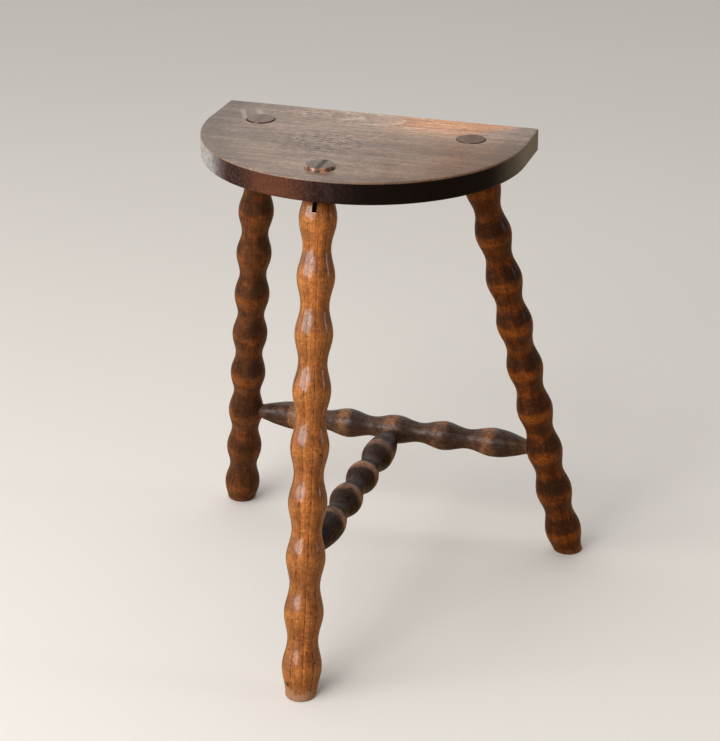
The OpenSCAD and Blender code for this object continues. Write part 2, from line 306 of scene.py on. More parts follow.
pieces = {}
for name, leg in (("front_leg", frontLeg), ("left_leg", leftLeg), ("right_leg", rightLeg)):
    placeLeg(leg)
    pieces[name] = makePiece("turned_" + name, [legBody(leg), legProng(leg, 1), legProng(leg, -1)])
print("the legs are turned and their tenons split")


# The stretchers: beads and coves are diameters, tenons radii
longStretcher = {"bead": 0.0295, "cove": 0.0204, "beads": 5, "shift": 0.0046,
                 "startTenon": 0.0075, "endTenon": 0.0075, "seed": 13}
shortStretcher = {"bead": 0.031, "cove": 0.0214, "beads": 4, "shift": 0.0,
                  "startTenon": 0.0075, "endTenon": 0.006, "seed": 21}
stretcherTurning = {"unevenness": 0.00022, "rowStep": 0.0009, "columns": 112}


# Where a stretcher enters a leg: the point on the leg's axis, its way down and its radius there
def entryInto(leg):
    return leg["start"] + leg["down"] * leg["entry"], leg["down"], legRadius(leg, leg["entry"])


# Sets out a stretcher between two pieces: its way, and its visible run between their skins, each
# the radius over the sine of the angle at which it meets the piece's axis
def placeStretcher(made, startPiece, stopPiece):
    (start, startAxis, startRadius), (stop, stopAxis, stopRadius) = startPiece, stopPiece
    made["from"], made["length"] = start, float(np.linalg.norm(stop - start))
    way = made["way"] = (stop - start) / made["length"]
    made["start"] = startRadius / math.sqrt(1 - float(startAxis @ way) ** 2)
    made["end"] = made["length"] - stopRadius / math.sqrt(1 - float(stopAxis @ way) ** 2)


# Radius at distance u: a cosine wave between the first and last crest, and a quarter-cosine
# taper outside them, down to the tenon
def stretcherRadius(made, u):
    run = (made["beads"] - 1) / 2 * stool["pitch"]
    first, last = made["middle"] - run, made["middle"] + run
    taperIn = np.cos(np.clip((first - u) / (first - made["start"]), 0, 1) * math.pi / 2)
    taperOut = np.cos(np.clip((u - last) / (made["end"] - last), 0, 1) * math.pi / 2)
    lowIn = made["startTenon"] + (made["bead"] / 2 - made["startTenon"]) * taperIn
    lowOut = made["endTenon"] + (made["bead"] / 2 - made["endTenon"]) * taperOut
    wave = waveRadius(u - first, made["bead"], made["cove"])
    return np.where(u < first, lowIn, np.where(u > last, lowOut, wave)), first


# The stretcher as rings of stretcherRadius less the turner's unevenness, about its own way
def makeStretcher(name, made):
    u = np.arange(stool["tenonStop"], made["length"] - stool["tenonStop"], stretcherTurning["rowStep"])
    angle = np.linspace(0, 2 * math.pi, stretcherTurning["columns"], endpoint=False)
    around, along = np.meshgrid(angle, u)
    radius, first = stretcherRadius(made, along)
    radius = radius + (turningError(around, along, made["seed"]) - 1) * stretcherTurning["unevenness"]
    aside = np.cross([0.0, 0.0, 1.0], made["way"])
    aside /= np.linalg.norm(aside)
    above = np.cross(made["way"], aside)
    rows = (made["from"] + along[..., None] * made["way"]
            + (radius * np.cos(around))[..., None] * aside
            + (radius * np.sin(around))[..., None] * above)
    toEnd = np.minimum(along - made["start"], made["end"] - along)
    marks = turnedMarks(along, around, first, np.zeros_like(along), toEnd, np.zeros_like(along))
    return makePiece(name, [(rows, marks)])


placeStretcher(longStretcher, entryInto(leftLeg), entryInto(rightLeg))
longStretcher["middle"] = longStretcher["length"] / 2 + longStretcher["shift"]
meeting = longStretcher["from"] + longStretcher["way"] * longStretcher["middle"]
placeStretcher(shortStretcher, entryInto(frontLeg),
               (meeting, longStretcher["way"], longStretcher["bead"] / 2))
shortStretcher["middle"] = (shortStretcher["start"] + shortStretcher["end"]) / 2
pieces["long_stretcher"] = makeStretcher("turned_long_stretcher", longStretcher)
pieces["short_stretcher"] = makeStretcher("turned_short_stretcher", shortStretcher)
print("the stretchers are turned")


# The seat board, in metres
board = {
    "middle": (-0.00269465, 0.053072),  # where the curve starts, across and along the stool
    "width": 0.3, "sideLength": 0.0525, "frontFlat": 0.01,
    "cornerRound": 0.0022,    # round of the two back corners, seen from above
    "arris": 0.0013,          # worn round along the edges
    "arrisSpread": 0.0004,
    "dish": 0.00022,          # hollow worn into the top: its depth, middle and reach
    "dishMiddle": -0.03, "dishReach": (0.09, 0.06), "dishShare": 0.6,
    "rippleX": 61, "rippleY": 83, "rippleShift": 0.7, "rippleBend": (1.3, 47),  # radians a metre
    "sawDepth": 0.00012,      # saw marks on the edge: slanting waves that come and go
    "sawWave": (900, 5), "sawSwell": (217, 2),
    "wanderTurns": 9, "seed": 31,
    "pointStep": 0.0017, "bendSteps": 7,      # along the outline, and the fewest in a bend
    "topRings": (0.02, 1, 48), "bottomRings": (1, 0.03, 14), "edgeRings": 14,
    "topCorner": 8, "bottomCorner": 7,
    "holeColumns": 96, "past": 0.005,
    "holeRadius": 0.0128, "mouth": 0.001,
}


# Points and outward directions along the board's outline: straight runs and arcs, one after another
def boardOutline():
    half, side, flat = board["width"] / 2, board["sideLength"], board["frontFlat"] / 2
    bend, curve = board["cornerRound"], half - flat

    def run(x0, y0, x1, y1):
        count = max(2, int(math.hypot(x1 - x0, y1 - y0) / board["pointStep"]))
        t = np.linspace(0, 1, count, endpoint=False)[:, None]
        out = np.array([y1 - y0, x0 - x1]) / math.hypot(x1 - x0, y1 - y0)
        return np.array([x0, y0]) * (1 - t) + np.array([x1, y1]) * t, np.broadcast_to(out, (count, 2))

    def bow(x, y, radius, start, stop):
        count = max(board["bendSteps"], int(abs(stop - start) * radius / board["pointStep"]))
        a = np.linspace(start, stop, count, endpoint=False)
        out = np.stack([np.cos(a), np.sin(a)], -1)
        return np.array([x, y]) + out * radius, out

    quarter = math.pi / 2
    parts = [run(half, 0, half, side - bend), bow(half - bend, side - bend, bend, 0, quarter),
             run(half - bend, side, bend - half, side),
             bow(bend - half, side - bend, bend, quarter, 2 * quarter),
             run(-half, side - bend, -half, 0), bow(-flat, 0, curve, 2 * quarter, 3 * quarter),
             run(-flat, -curve, flat, -curve), bow(flat, 0, curve, -quarter, 0)]
    return np.concatenate([p for p, _ in parts]), np.concatenate([o for _, o in parts])


# Height that the top has lost by wear: a shallow bell-shaped hollow, and slow ripples made of two
# crossing cosines
def topWear(x, y):
    (reachX, reachY), (bend, bendWave) = board["dishReach"], board["rippleBend"]
    hollow = np.exp(-((x / reachX) ** 2 + ((y - board["dishMiddle"]) / reachY) ** 2))
    bent = x * board["rippleX"] + bend * np.sin(y * bendWave)
    ripple = (1 + np.cos(bent) * np.cos(y * board["rippleY"] + board["rippleShift"])) / 2
    return board["dish"] * (board["dishShare"] * hollow + (1 - board["dishShare"]) * ripple)


# The board as rings: from the middle of the top out to the edge, down the edge, and back to the
# middle underneath; the edge's corners are quarter rounds whose size wanders along the outline
def makeBoard(name):
    outline, outward = boardOutline()
    steps = np.linalg.norm(np.roll(outline, -1, 0) - outline, axis=1)
    along = np.cumsum(steps) - steps
    wander = turningError(along * board["wanderTurns"], along, board["seed"])
    corner = board["arris"] + board["arrisSpread"] * wander
    level = np.ones_like(along)
    top, bottom = stool["seatTop"], stool["seatTop"] - stool["seatThick"]
    centre = np.array([0.0, board["dishMiddle"]])
    rings, heights = [], []

    def addRing(ring, height):
        rings.append(ring)
        heights.append(height)

    def inward(inset):
        return outline - outward * inset[:, None]

    innerTop, innerBottom = inward(corner), inward(level * board["arris"])
    for t in np.linspace(*board["topRings"]):
        ring = centre + (innerTop - centre) * t
        addRing(ring, top - topWear(*ring.T))
    rim = top - topWear(*innerTop.T)
    for part in np.linspace(0, 1, board["topCorner"])[1:]:
        downward, across = quarterRound(part)
        addRing(inward(corner * across), rim - corner * downward)
    low = bottom + board["arris"]
    (wave, waveDown), (swell, swellDown) = board["sawWave"], board["sawSwell"]
    for part in np.linspace(0, 1, board["edgeRings"] + 2)[1:-1]:
        saw = (1 + np.sin(along * wave + part * waveDown) * np.cos(along * swell + part * swellDown)) / 2
        inset = board["sawDepth"] * saw * math.sin(part * math.pi)
        addRing(inward(inset), (rim - corner) * (1 - part) + low * part)
    for part in np.linspace(0, 1, board["bottomCorner"]):
        across, _ = quarterRound(part)
        height = low - board["arris"] * math.sin(part * math.pi / 2)
        addRing(inward(level * board["arris"] * across), level * height)
    for t in np.linspace(*board["bottomRings"])[1:]:
        addRing(centre + (innerBottom - centre) * t, level * bottom)
    flat = np.stack(rings) + np.array(board["middle"])
    rows = np.concatenate([flat, np.stack(heights)[..., None]], -1)
    return makePiece(name, [(rows, {})])


# A tapering or plain round cutter: two rings about an axis
def roundCutter(name, start, stop, startRadius, stopRadius):
    way = (stop - start) / np.linalg.norm(stop - start)
    aside = np.cross(way, [0.0, 1.0, 0.0])
    aside /= np.linalg.norm(aside)
    above = np.cross(way, aside)
    angle = np.linspace(0, 2 * math.pi, board["holeColumns"], endpoint=False)[:, None]
    ring = np.cos(angle) * aside + np.sin(angle) * above
    return makePiece(name, [(np.stack([start + ring * startRadius, stop + ring * stopRadius]), {})])


# Bores the slanting leg holes with their bevelled mouths, and keeps the result as a plain mesh
def boreBoard(made):
    cutters = []
    past, radius, mouth = board["past"], board["holeRadius"], board["mouth"]
    for number, leg in enumerate((frontLeg, leftLeg, rightLeg)):
        top = np.array([*leg["hole"], stool["seatTop"]])
        run = stool["seatThick"] / leg["cos"] + 2 * past
        cutters.append(roundCutter(
            f"bore_{number}", top - leg["down"] * 2 * past, top + leg["down"] * run, radius, radius))
        low, high = np.array([0, 0, mouth + past]), np.array([0, 0, past])
        cutters.append(roundCutter(
            f"mouth_{number}", top - low, top + high, radius - past, radius + mouth + past))
    for cutter in cutters:
        cut = made.modifiers.new(cutter.name, "BOOLEAN")
        cut.operation, cut.solver, cut.object = "DIFFERENCE", "EXACT", cutter
    shaped = made.evaluated_get(bpy.context.evaluated_depsgraph_get())
    mesh = bpy.data.meshes.new_from_object(shaped)
    made.modifiers.clear()
    made.data = mesh
    smoothMesh(mesh)
    for cutter in cutters:
        bpy.data.objects.remove(cutter)


pieces["seat_board"] = makeBoard("worn_seat_board")
boreBoard(pieces["seat_board"])
print("the seat board is shaped and bored")


# Each input takes the output that feeds it, a number, a vector or a colour of red, green and blue
def feed(inputs, values):
    for key, value in values.items():
        if isinstance(value, bpy.types.NodeSocket):
            value.id_data.links.new(value, inputs[key])
        elif inputs[key].type == "RGBA":
            inputs[key].default_value = (*value, 1.0)
        else:
            inputs[key].default_value = value


# Adds a node with its settings to the tree of the outputs that feed it
def addNode(kind, inputs, **settings):
    tree = next(value.id_data for value in inputs.values() if isinstance(value, bpy.types.NodeSocket))
    made = tree.nodes.new(kind)
    for key, value in settings.items():
        setattr(made, key, value)
    feed(made.inputs, inputs)
    return made


# One step of arithmetic on numbers or outputs; the next five are named for what they work out
def calc(operation, *values):
    return addNode("ShaderNodeMath", dict(enumerate(values)), operation=operation).outputs[0]


def plus(first, second):
    return calc("ADD", first, second)


def minus(first, second):
    return calc("SUBTRACT", first, second)


def over(first, second):
    return calc("DIVIDE", first, second)


def larger(first, second):
    return calc("MAXIMUM", first, second)


def times(first, *others):
    for other in others:
        first = calc("MULTIPLY", first, other)
    return first


# A noise from 0 to 1 as a push to either side: less a half, times the reach
def sway(value, reach):
    return times(minus(value, 0.5), reach)


# Eases from start to stop between low and high
def fade(value, low, high, start=0.0, stop=1.0):
    return addNode("ShaderNodeMapRange", {0: value, 1: low, 2: high, 3: start, 4: stop},
                   interpolation_type="SMOOTHSTEP").outputs[0]


# The first colour at share 0 and the second at share 1
def mixColor(share, first, second, way="MIX"):
    return addNode("ShaderNodeMix", {0: share, 6: first, 7: second}, data_type="RGBA",
                   blend_type=way, clamp_factor=True).outputs[2]


# The colour times a number
def shadeBy(color, amount):
    return mixColor(1.0, color, amount, "MULTIPLY")


# Another colour where a mask is, at a share of its strength
def layOn(color, mask, share, other):
    return mixColor(times(mask, share), color, other)


# The place scaled, turned and moved
def mapPlace(place, scale=(1, 1, 1), turn=(0, 0, 0), move=(0, 0, 0)):
    return addNode("ShaderNodeMapping",
                   {"Vector": place, "Scale": scale, "Rotation": turn, "Location": move}).outputs[0]


# Random values from 0 to 1 about a place, as waves a metre along each axis where stretch is given
def noise(place, seed, stretch=None, turn=(0, 0, 0), scale=1.0, detail=2.0, rough=0.5):
    if stretch:
        place = mapPlace(place, stretch, turn)
    return addNode("ShaderNodeTexNoise",
                   {"Vector": place, "Scale": scale, "Detail": detail, "Roughness": rough, "W": seed},
                   noise_dimensions="4D").outputs["Fac"]


# The x, y and z of a place
def splitPlace(place):
    return addNode("ShaderNodeSeparateXYZ", {0: place}).outputs


# The normal over a height, on top of another normal if given
def addBump(height, distance, strength, under=None):
    inputs = {"Height": height, "Distance": distance, "Strength": strength}
    if under is not None:
        inputs["Normal"] = under
    return addNode("ShaderNodeBump", inputs).outputs[0]


# Two heights in the frame, given from the top of the board
def nearTop(low, high):
    return stool["seatTop"] + low, stool["seatTop"] + high


# Starts a node group with named inputs and outputs: an input is a number with a first value, or a
# place, which has None
def startGroup(name, inputs, outputs):
    tree = bpy.data.node_groups.new(name, "ShaderNodeTree")
    for key, value in inputs.items():
        kind = "NodeSocketVector" if value is None else "NodeSocketFloat"
        made = tree.interface.new_socket(key, in_out="INPUT", socket_type=kind)
        if value is not None:
            made.default_value = value
    for key in outputs:
        tree.interface.new_socket(key, in_out="OUTPUT", socket_type="NodeSocketFloat")
    return tree, tree.nodes.new("NodeGroupInput").outputs, tree.nodes.new("NodeGroupOutput").inputs


# The named noises of a group, at its Place and with its Seed
def groupNoises(given, shape, *keys):
    return [noise(given["Place"], given["Seed"], **shape[key]) for key in keys]


# Places a group in a material, with its own values, and gives its outputs by name
def useGroup(group, **inputs):
    return addNode("ShaderNodeGroup", inputs, node_tree=group).outputs


# In the dictionaries below a span is what fade takes: low and high, then start and stop if they
# aren't 0 and 1
grainShape = {
    "slow": {"stretch": (40, 40, 5)},
    "dash": {"stretch": (500, 500, 260), "detail": 2, "rough": 0.7},
    "fibre": {"stretch": (700, 700, 24), "detail": 4, "rough": 0.6},
    "dots": {"stretch": (950, 950, 170), "detail": 1},
    "lineRise": (0.87, 0.94), "lineFall": (0.95, 0.99, 1.0, 0.0), "dashSpan": (0.40, 0.58, 0.1, 1.0),
    "poreSpan": (0.60, 0.72), "poresInLine": 0.12,
}


# Growth layers and pores: layers lie across Place's X, warped by slow noise, and everything is
# drawn out along its Z, which runs with the grain; the lines between layers break into dashes
def buildGrain():
    tree, given, result = startGroup(
        "wood grain", {"Place": None, "LayerWidth": 0.008, "Waver": 0.004, "Seed": 0.0},
        ("Layer", "Line", "Fibre", "Pores"))
    slow, dash, fibre, dots = groupNoises(given, grainShape, "slow", "dash", "fibre", "dots")
    x = plus(splitPlace(given["Place"])[0], sway(slow, given["Waver"]))
    layer = calc("FRACT", over(x, given["LayerWidth"]))
    line = times(fade(layer, *grainShape["lineRise"]), fade(layer, *grainShape["lineFall"]),
                 fade(dash, *grainShape["dashSpan"]))
    pores = fade(plus(times(line, grainShape["poresInLine"]), dots), *grainShape["poreSpan"])
    feed(result, {"Layer": layer, "Line": line, "Fibre": fibre, "Pores": pores})
    return tree


stainShape = {
    "patch": {"stretch": (85, 85, 60), "detail": 4, "rough": 0.65},
    "lower": (-0.25, 0.97), "cove": (-0.99, -0.10), "upper": (0.05, -0.99),  # shares of cosine and sine
    "narrow": (0.45, 0.95), "wide": (0.15, 0.85),
}


# Where stain stays and where it wears off a turned piece. Bead holds the cosine and sine of the
# place within a bead, so a share of each picks a height on it: Crest is the widest part, moved
# along by CrestCos and CrestSin, Lower the half that faces away from the seat, Cove the hollow, and
# Upper the half that faces the seat
def buildTurnedStain():
    tree, given, result = startGroup(
        "turned stain",
        {"Bead": None, "Place": None, "Ragged": 0.5, "Seed": 0.0, "CrestCos": 1.0, "CrestSin": 0.0},
        ("Crest", "Lower", "Cove", "Upper", "Patch"))
    cos, sin, _ = splitPlace(given["Bead"])
    patch = groupNoises(given, stainShape, "patch")[0]
    rag = sway(patch, given["Ragged"])

    def band(cosShare, sinShare, span):
        height = plus(times(cos, cosShare), times(sin, sinShare))
        return fade(plus(height, rag), *stainShape[span])

    feed(result, {"Crest": band(given["CrestCos"], given["CrestSin"], "narrow"),
                  "Lower": band(*stainShape["lower"], "wide"), "Cove": band(*stainShape["cove"], "narrow"),
                  "Upper": band(*stainShape["upper"], "wide"), "Patch": patch})
    return tree


wearShape = {
    "hair": {"stretch": (420, 60, 420), "turn": (0.3, 0.5, 0.7), "detail": 2},
    "spots": {"scale": 430, "detail": 2, "rough": 0.6},
    "smudge": {"scale": 24, "detail": 3, "rough": 0.6},
    "mottle": {"scale": 150, "detail": 3, "rough": 0.65},
    "grit": {"scale": 560, "detail": 3, "rough": 0.75},
    "hairSpan": (0.0, 0.018, 1.0, 0.0), "speckSpan": (0.66, 0.75),
}


# Wear and dirt of long use: fine scratches and dark specks from 0 to 1, and slow smudges, mottle and
# grit around 0.5, from a hand's width down to a sand grain
def buildWear():
    tree, given, result = startGroup(
        "hand wear", {"Place": None, "Seed": 0.0}, ("Scratch", "Speck", "Smudge", "Mottle", "Grit"))
    hair, spots, smudge, mottle, grit = groupNoises(
        given, wearShape, "hair", "spots", "smudge", "mottle", "grit")
    scratch = fade(calc("ABSOLUTE", minus(hair, 0.5)), *wearShape["hairSpan"])
    feed(result, {"Scratch": scratch, "Speck": fade(spots, *wearShape["speckSpan"]),
                  "Smudge": smudge, "Mottle": mottle, "Grit": grit})
    return tree


endShape = {
    "slow": {"scale": 60, "detail": 2}, "coarse": {"scale": 520, "detail": 3, "rough": 0.7},
    "dots": {"scale": 1500, "detail": 1}, "bend": 0.006, "arcWidth": 0.0021,
    "arcShare": 0.3, "coarseShare": 0.7, "poreSpan": (0.58, 0.7),
}


# Sawn ends of the grain: fine growth arcs across Place's X and open pores, as a tone from 0 to 1
def buildEndGrain():
    tree, given, result = startGroup("end grain", {"Place": None, "Seed": 0.0}, ("Tone", "Pores"))
    slow, coarse, dots = groupNoises(given, endShape, "slow", "coarse", "dots")
    x = plus(splitPlace(given["Place"])[0], times(slow, endShape["bend"]))
    arcs = calc("FRACT", over(x, endShape["arcWidth"]))
    tone = plus(times(arcs, endShape["arcShare"]), times(coarse, endShape["coarseShare"]))
    feed(result, {"Tone": tone, "Pores": fade(dots, *endShape["poreSpan"])})
    return tree


grainGroup, stainGroup = buildGrain(), buildTurnedStain()
wearGroup, endGroup = buildWear(), buildEndGrain()
print("the shared effects are built")


# Starts a material and returns its tree and its Principled shader
def startMaterial(name, **fixed):
    material = bpy.data.materials.new(name)
    material.use_nodes = True
    tree = material.node_tree
    tree.nodes.clear()
    shader = tree.nodes.new("ShaderNodeBsdfPrincipled")
    feed(tree.nodes.new("ShaderNodeOutputMaterial").inputs, {0: shader.outputs[0]})
    feed(shader.inputs, fixed)
    return material, tree, shader


# A place that makePiece stored in the mesh
def attributePlace(tree, name):
    made = tree.nodes.new("ShaderNodeAttribute")
    made.attribute_name = name
    return made.outputs["Vector"]


# The place in the frame, in metres
def objectPlace(tree):
    return tree.nodes.new("ShaderNodeTexCoord").outputs["Object"]


# Of each wood: its colours; the shares of stain on the parts of a bead, and of wear on the crests,
# which lie crestAt degrees on from the widest part; the grain's layers, lines and pores; the
# varnish; and dark spots, each by distance down, angle round and reach: small marks on the front
# leg, and painted shade on the side of each bead that faces away from the main light on the two back legs
frontLook = {
    "pale": (0.41, 0.144, 0.034), "deep": (0.27, 0.082, 0.016), "line": (0.045, 0.013, 0.005),
    "ring": (0.46, 0.176, 0.042), "stain": (0.15, 0.042, 0.016), "bare": (0.42, 0.25, 0.16),
    "end": (0.26, 0.185, 0.152), "endDark": (0.10, 0.068, 0.052), "rim": (0.54, 0.27, 0.14),
    "rimDark": (0.09, 0.030, 0.016),
    "crest": 0.45, "lower": 0.18, "cove": 0.05, "upper": 0.32, "patches": 0.34, "ragged": 1.1,
    "crestAt": 22,
    "layerWidth": 0.0085, "layerShift": -0.0018, "waver": 0.010, "turn": -1.729,
    "lineShare": 1.0, "pores": 0.6, "grit": 0.34, "rings": 0.16, "swing": 0.24, "wornFrom": 0.6,
    # the painted light strip down the leg: the angle round it that it faces, and how much paler it makes
    # the wood
    "coatGap": 0.6, "paintedLitSide": 9, "paintedLitGain": 1.24,
    "rough": 0.40, "coat": 0.95, "coatRough": 0.15, "haze": 0.14, "seed": 2.0,
    "spots": ((0.230, 46, 0.0019), (0.178, 6, 0.0012), (0.180, 31, 0.0011), (0.362, 26, 0.0012),
              (0.412, 25, 0.0012), (0.421, 51, 0.0014), (0.443, -44, 0.004)),
    "spotColor": (0.035, 0.010, 0.004), "spotShare": 0.9,
}
leftLook = {
    "pale": (0.175, 0.058, 0.019), "deep": (0.088, 0.027, 0.010), "line": (0.03, 0.010, 0.005),
    "ring": (0.26, 0.080, 0.018), "stain": (0.020, 0.008, 0.005), "bare": (0.26, 0.12, 0.06),
    "end": (0.31, 0.235, 0.20), "endDark": (0.21, 0.155, 0.13), "rim": (0.05, 0.03, 0.022),
    "rimDark": (0.015, 0.009, 0.007),
    "crest": 0.75, "lower": 0.15, "cove": 0.40, "upper": 0.50, "patches": 0.80, "ragged": 2.4,
    "coatGap": 0.6,
    "layerWidth": 0.009, "layerShift": 0.0, "waver": 0.02, "turn": 0.7,
    "lineShare": 0.12, "pores": 0.35, "grit": 0.32, "rings": 0.18, "swing": 0.26, "crestAt": 10,
    "wornFrom": 0.3,
    "rough": 0.42, "coat": 0.3, "coatRough": 0.28, "haze": 0.08, "seed": 11.0,
    # painted shade: one large dark spot on each bead, on the side turned away from the main light
    "spots": ((0.070, -158, 0.011), (0.114, -150, 0.012), (0.168, -165, 0.014), (0.220, -175, 0.013),
              (0.272, -160, 0.013), (0.327, 165, 0.020), (0.386, 170, 0.014)),
    "spotColor": (0.022, 0.010, 0.007), "spotShare": 0.58,
}
rightLook = {
    "pale": (0.19, 0.052, 0.009), "deep": (0.10, 0.023, 0.004), "line": (0.03, 0.008, 0.003),
    "ring": (0.27, 0.075, 0.010), "stain": (0.030, 0.009, 0.004), "bare": (0.26, 0.12, 0.06),
    "end": (0.25, 0.17, 0.125), "endDark": (0.13, 0.083, 0.060), "rim": (0.07, 0.026, 0.016),
    "rimDark": (0.03, 0.012, 0.008),
    "crest": 0.80, "lower": 0.55, "cove": 0.15, "upper": 0.92, "patches": 0.45, "ragged": 1.6,
    "layerWidth": 0.008, "layerShift": 0.0, "waver": 0.02, "turn": 2.4,
    "lineShare": 0.12, "pores": 0.4, "grit": 0.48, "rings": 0.20, "swing": 0.30, "crestAt": 12,
    "wornFrom": 0.45, "coatGap": 0.1,
    "rough": 0.38, "coat": 0.35, "coatRough": 0.26, "haze": 0.06, "seed": 17.0,
    # painted shade: one large dark spot on each bead, on the side turned away from the main light
    "spots": ((0.075, -92, 0.011), (0.123, -84, 0.012), (0.170, -76, 0.012), (0.223, -83, 0.012),
              (0.300, -120, 0.011), (0.372, -125, 0.022)),
    "spotColor": (0.022, 0.008, 0.005), "spotShare": 0.5,
}
longLook = {
    "pale": (0.11, 0.055, 0.032), "deep": (0.05, 0.025, 0.016), "line": (0.02, 0.010, 0.007),
    "ring": (0.34, 0.150, 0.068), "stain": (0.026, 0.013, 0.010), "bare": (0.12, 0.06, 0.035),
    "end": (0.1, 0.08, 0.07), "endDark": (0.05, 0.04, 0.035), "rim": (0.1, 0.05, 0.03),
    "rimDark": (0.05, 0.03, 0.02),
    "crest": 0.85, "lower": 0.75, "cove": 0.5, "upper": 0.2, "patches": 0.5, "ragged": 2.6, "crestAt": -28,
    "layerWidth": 0.007, "layerShift": 0.0, "waver": 0.02, "turn": 0.4,
    "lineShare": 0.15, "pores": 0.4, "grit": 0.42, "rings": 0.14, "swing": 0.25, "wornFrom": 0.1,
    "rough": 0.40, "coat": 0.6, "coatRough": 0.34, "coatGap": 0.0, "haze": 0.06, "seed": 23.0, "spots": (),
}
shortLook = dict(longLook, pale=(0.062, 0.030, 0.017), deep=(0.026, 0.012, 0.008), coat=0.3,
                 stain=(0.018, 0.008, 0.005), ring=(0.42, 0.205, 0.115), seed=31.0, turn=1.4,
                 crestAt=8, crest=0.9, lower=0.8, upper=0.7, cove=0.2, ragged=1.9, swing=0.2, wornFrom=0.4)


# What all the turned woods share
turnedShape = {
    "fleck": {"stretch": (720, 720, 360), "detail": 3, "rough": 0.75}, "fleckSpan": (0.3, 0.7),
    "cuts": {"stretch": (110, 110, 430), "detail": 3, "rough": 0.7}, "cutSpan": (0.32, 0.68),
    "fibreShare": 0.84, "layerShare": 0.16, "toneSpan": (0.34, 0.66),
    "patchSpan": (0.36, 0.64), "patchStain": (0.50, 0.68), "wornSpan": (0.44, 0.60),
    "stainMottle": (0.3, 0.6, 0.5, 1.0), "speckShare": 0.6, "scratchShare": 0.12,
    "paintedLitRag": 0.04, "paintedLitSpan": (0.90, 0.985), "spotRag": 1.4, "spotSpan": (0.35, 1.0, 1.0, 0.0),
    "scuffRag": -0.03, "scuffSpan": (0.002, 0.009, 0.65, 0.0),       # metres from the foot
    "proudFrom": -0.0016, "proudTo": -0.0008, "rimSpan": (0.4, 0.62),
    "ior": 1.5, "kerfPaintedShade": (0.005, 0.003, 0.002), "endSpan": (0.3, 0.7), "endPores": 0.5,
    "roughSpan": (0.3, 0.7), "smoother": 0.05, "rougher": 0.12, "endRougher": 0.3,
    "coatSpan": (0.35, 0.55), "endCoat": (0.0, 1.0, 1.0, 0.6), "kerfCoat": (0.0, 1.0, 1.0, 0.0),
    "mottleDent": 0.6, "dentDepth": 0.0002, "cutDepth": 0.0004, "bump": 0.5,
}


# Round spots with ragged rims, each given by how far down the piece it is, the angle round it in
# degrees and its reach in metres: 1 in a spot and 0 outside
def spotsOn(cylinder, spots, rag):
    share = 0.0
    for down, angle, reach in spots:
        way = math.radians(angle)
        middle = (stool["patternRadius"] * math.cos(way), stool["patternRadius"] * math.sin(way), down)
        gap = addNode("ShaderNodeVectorMath", {0: cylinder, 1: middle}, operation="DISTANCE")
        far = plus(over(gap.outputs["Value"], reach), rag)
        share = larger(share, fade(far, *turnedShape["spotSpan"]))
    return share


# 1 on the side of a turned piece that faces an angle, in degrees, and less away from it, as the
# cosine of the angle between them
def facingSide(cylinder, angle):
    way = math.radians(angle)
    x, y, _ = splitPlace(cylinder)
    across = times(x, math.cos(way) / stool["patternRadius"])
    return plus(across, times(y, math.sin(way) / stool["patternRadius"]))


# Lighter where the value is low and darker where it is high, by the same amount
def vary(color, value, span, amount):
    return shadeBy(color, fade(value, *span, 1 + amount, 1 - amount))


